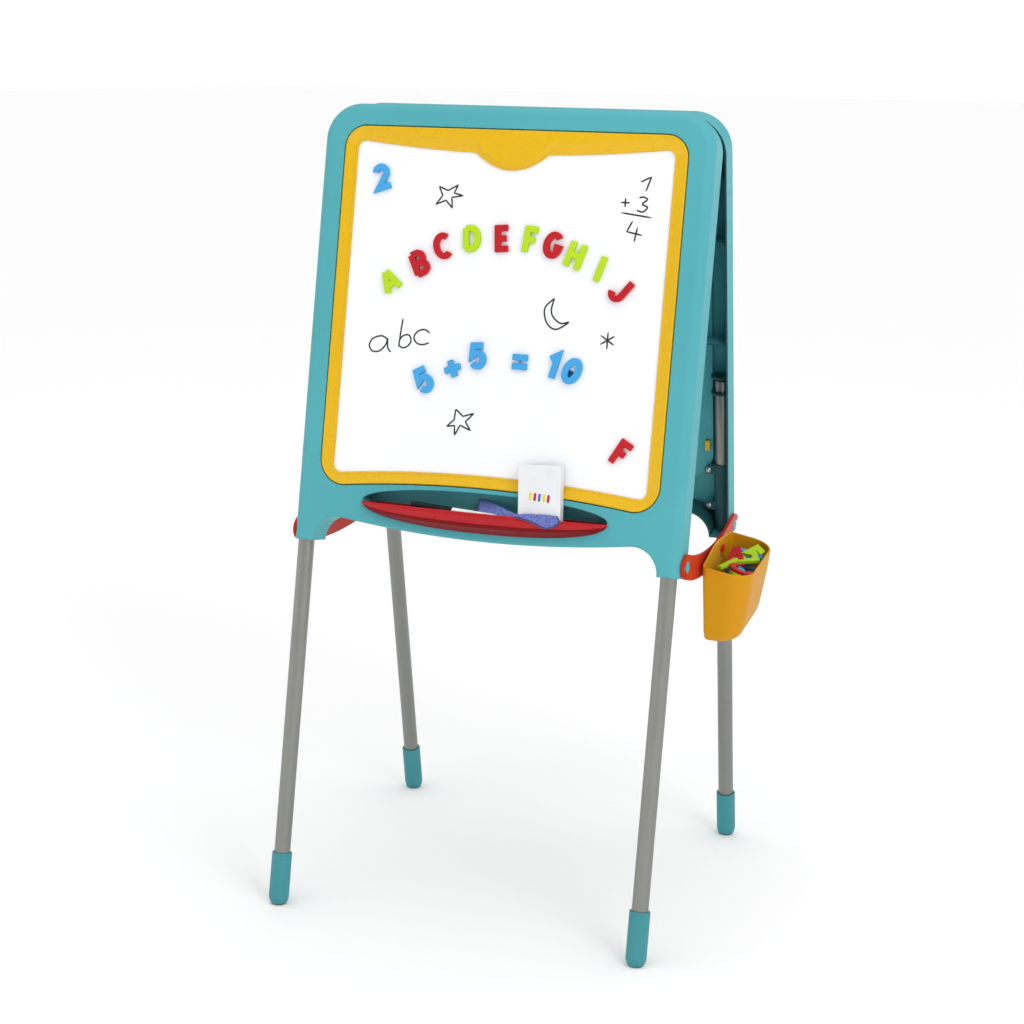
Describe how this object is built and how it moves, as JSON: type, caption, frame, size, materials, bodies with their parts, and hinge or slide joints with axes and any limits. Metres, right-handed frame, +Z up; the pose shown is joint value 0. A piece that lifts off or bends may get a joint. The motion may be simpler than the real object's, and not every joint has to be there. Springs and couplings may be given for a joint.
{
  "type": "kids easel",
  "caption": "Folding two-sided children's easel with whiteboard and chalkboard panels on tube legs, side stays, trays and a hanging bucket.",
  "frame": {"origin": "on the floor, under the middle of the whole object's bounding box", "axes": "+Z up, the whiteboard side faces -Y, the bucket hangs on the +X side"},
  "size_m": [0.623, 0.5112, 1.0798],
  "materials": {
    "teal_shell": "satin moulded",
    "teal_foot": "satin moulded",
    "teal_stud": "smooth",
    "yellow_frame": "gloss moulded",
    "yellow_bucket": "satin moulded",
    "red_plastic": "gloss moulded",
    "leg_tube": "silver lacquer",
    "steel": "zinc plated",
    "whiteboard": "gloss enamel",
    "chalkboard": "matt",
    "magnet_red": "satin",
    "magnet_lime": "satin",
    "magnet_blue": "satin",
    "marker_black": "satin",
    "marker_white": "satin",
    "cloth": "fine woven",
    "carton": "coated board"
  },
  "bodies": {
    "front": {"front_panel": "teal_shell", "front_frame": "yellow_frame", "whiteboard": "whiteboard", "front_tray": "red_plastic", "front_left_leg": "leg_tube", "front_left_foot": "teal_foot", "front_left_socket_cover": "teal_shell", "front_left_screw_1": "steel", "front_left_screw_2": "steel", "front_left_stud": "teal_stud", "front_right_leg": "leg_tube", "front_right_foot": "teal_foot", "front_right_socket_cover": "teal_shell", "front_right_screw_1": "steel", "front_right_screw_2": "steel", "front_right_stud": "teal_stud", "left_hinge_pin": "steel", "right_hinge_pin": "steel", "magnet_01_2": "magnet_blue", "magnet_02_A": "magnet_lime", "magnet_03_B": "magnet_red", "magnet_04_C": "magnet_red", "magnet_05_D": "magnet_lime", "magnet_06_E": "magnet_red", "magnet_07_F": "magnet_lime", "magnet_08_G": "magnet_red", "magnet_09_H": "magnet_lime", "magnet_10_I": "magnet_lime", "magnet_11_J": "magnet_red", "magnet_12_5": "magnet_blue", "magnet_13_plus": "magnet_blue", "magnet_14_5": "magnet_blue", "magnet_15_equals": "magnet_blue", "magnet_16_1": "magnet_blue", "magnet_17_0": "magnet_blue", "magnet_18_F": "magnet_red", "marker_cap": "marker_black", "marker_body": "marker_white", "cleaning_cloth": "cloth"},
    "rear": {"rear_panel": "teal_shell", "rear_frame": "yellow_frame", "chalkboard": "chalkboard", "rear_tray": "red_plastic", "rear_left_leg": "leg_tube", "rear_left_foot": "teal_foot", "rear_left_socket_cover": "teal_shell", "rear_left_screw_1": "steel", "rear_left_screw_2": "steel", "rear_left_stud": "teal_stud", "rear_right_leg": "leg_tube", "rear_right_foot": "teal_foot", "rear_right_socket_cover": "teal_shell", "rear_right_screw_1": "steel", "rear_right_screw_2": "steel", "rear_right_stud": "teal_stud"},
    "left_stay": {"left_stay": "red_plastic"},
    "right_stay": {"right_stay": "red_plastic"},
    "bucket": {"bucket": "yellow_bucket", "spare_magnets": "magnet_red"},
    "chalk_box": {"chalk_box": "carton"}
  },
  "joints": [
    {"name": "fold", "type": "hinge", "parent": "front", "child": "rear", "pos_m": [-0.03415, 0, 1.0554], "axis": [-1, 0, 0], "range_deg": [0, 22.2]},
    {"name": "left_stay_swing", "type": "hinge", "parent": "front", "child": "left_stay", "pos_m": [-0.30885, -0.1274, 0.5076], "axis": [1, 0, 0], "range_deg": [0, 78.9]},
    {"name": "right_stay_swing", "type": "hinge", "parent": "front", "child": "right_stay", "pos_m": [0.24055, -0.1274, 0.5076], "axis": [1, 0, 0], "range_deg": [0, 78.9]},
    {"name": "bucket_lift", "type": "slide", "parent": "right_stay", "child": "bucket", "axis": [0, 0, 1], "range_m": [0, 0.008]},
    {"name": "chalk_box_lift", "type": "slide", "parent": "front", "child": "chalk_box", "axis": [0, 0.1926, 0.9813], "range_m": [0, 0.08]}
  ],
  "couplings": [
    {"joint": "left_stay_swing", "follows": "fold", "ratio": 3.55},
    {"joint": "right_stay_swing", "follows": "fold", "ratio": 3.55}
  ]
}
